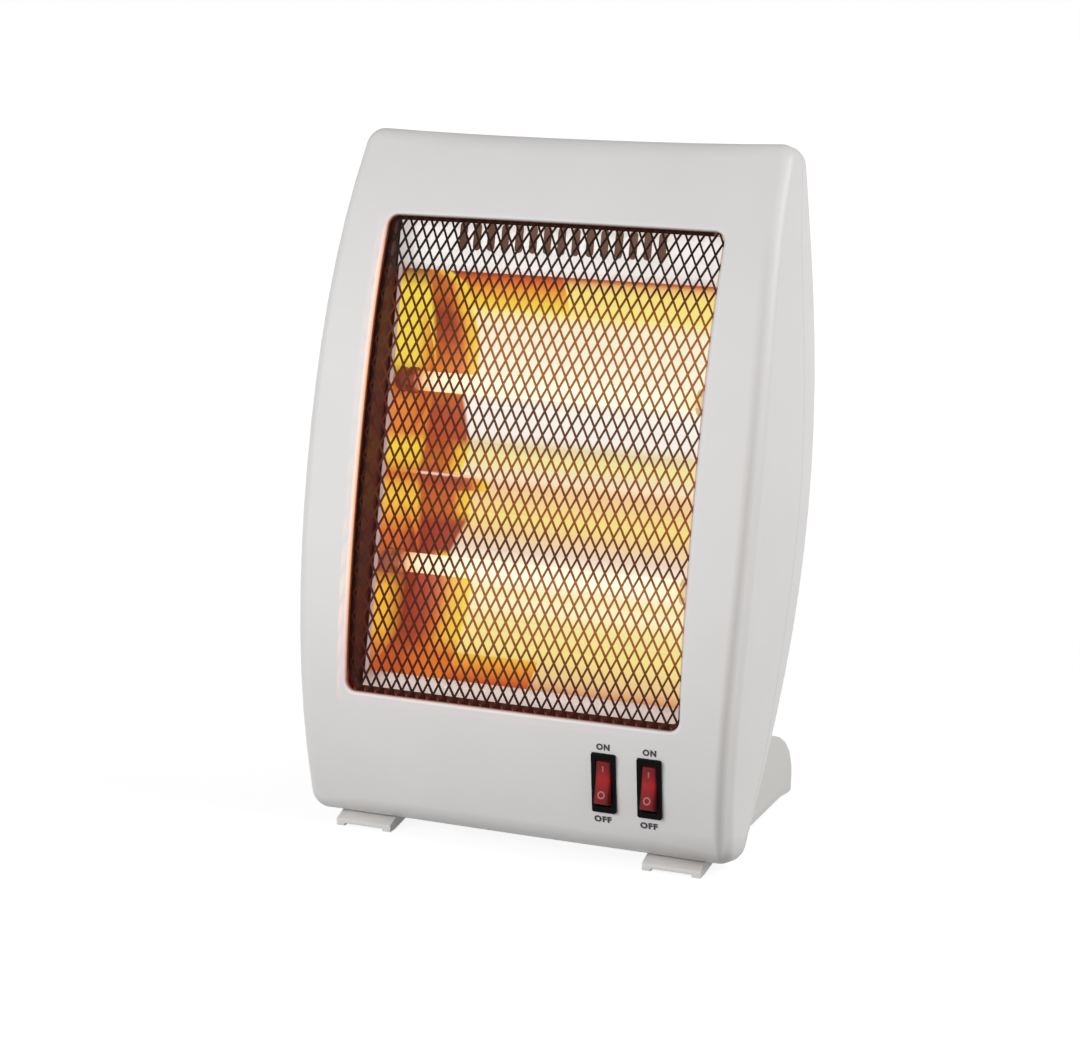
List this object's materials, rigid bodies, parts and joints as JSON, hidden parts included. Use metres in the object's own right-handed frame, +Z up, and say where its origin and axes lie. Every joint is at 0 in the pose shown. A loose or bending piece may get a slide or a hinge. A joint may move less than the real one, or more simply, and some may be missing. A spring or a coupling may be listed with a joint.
{
  "type": "quartz radiant heater",
  "caption": "Upright two-tube quartz radiant heater with a curved wire guard, trough reflector, rocker switches and screwed feet.",
  "frame": {"origin": "on the floor under the middle of the heater, from side to side and from front to back", "axes": "+X to the right seen from the front, +Y from the front to the back, +Z up"},
  "size_m": [0.265, 0.172, 0.3825],
  "materials": {
    "white_abs": "fine matt-gloss moulded",
    "black_steel": "black enamel",
    "reflector_sheet": "bright, heat tinted",
    "plate_sheet": "satin",
    "brown_sheet": "heat darkened",
    "quartz": "frosted, glowing",
    "hot_wire": "glowing",
    "ceramic": "unglazed",
    "clip_steel": "heat tinted",
    "black_nylon": "gloss",
    "red_rocker": "translucent",
    "brass": "bright",
    "zinc_steel": "zinc plated",
    "grey_steel": "plain"
  },
  "bodies": {
    "heater": {"front_casing": "white_abs", "rear_cover": "white_abs", "casing_screws": "zinc_steel", "cord_gland": "black_nylon", "guard_front_strands": "black_steel", "guard_rear_strands": "black_steel", "guard_frame": "black_steel", "reflector": "reflector_sheet", "reflector_end_left": "reflector_sheet", "reflector_end_right": "reflector_sheet", "slotted_plate": "plate_sheet", "lower_plate": "plate_sheet", "side_shields": "brown_sheet", "mount_screws": "zinc_steel", "upper_tube": "quartz", "lower_tube": "quartz", "upper_element": "hot_wire", "lower_element": "hot_wire", "upper_tube_caps": "ceramic", "lower_tube_caps": "ceramic", "upper_tube_clips": "clip_steel", "lower_tube_clips": "clip_steel", "switch_1_housing": "black_nylon", "switch_2_housing": "black_nylon", "switch_terminals": "brass", "terminal_block": "ceramic", "thermal_cutout": "grey_steel", "tip_over_bracket": "zinc_steel", "tip_over_pin": "zinc_steel", "tip_over_microswitch": "black_nylon", "foot_left": "white_abs", "foot_right": "white_abs", "foot_screws": "zinc_steel"},
    "first_rocker": {"rocker_1": "red_rocker"},
    "second_rocker": {"rocker_2": "red_rocker"},
    "tip_over_arm_body": {"tip_over_arm": "grey_steel"}
  },
  "joints": [
    {"name": "first_rocker_hinge", "type": "hinge", "parent": "heater", "child": "first_rocker", "pos_m": [0.0568, -0.07745, 0.05011], "axis": [1, 0, 0], "range_deg": [0, 28]},
    {"name": "second_rocker_hinge", "type": "hinge", "parent": "heater", "child": "second_rocker", "pos_m": [0.0824, -0.07627, 0.04984], "axis": [1, 0, 0], "range_deg": [0, 28]},
    {"name": "tip_over_hinge", "type": "hinge", "parent": "heater", "child": "tip_over_arm_body", "pos_m": [0, -0.05226, 0.05785], "axis": [1, 0, 0], "range_deg": [-15, 15]}
  ]
}
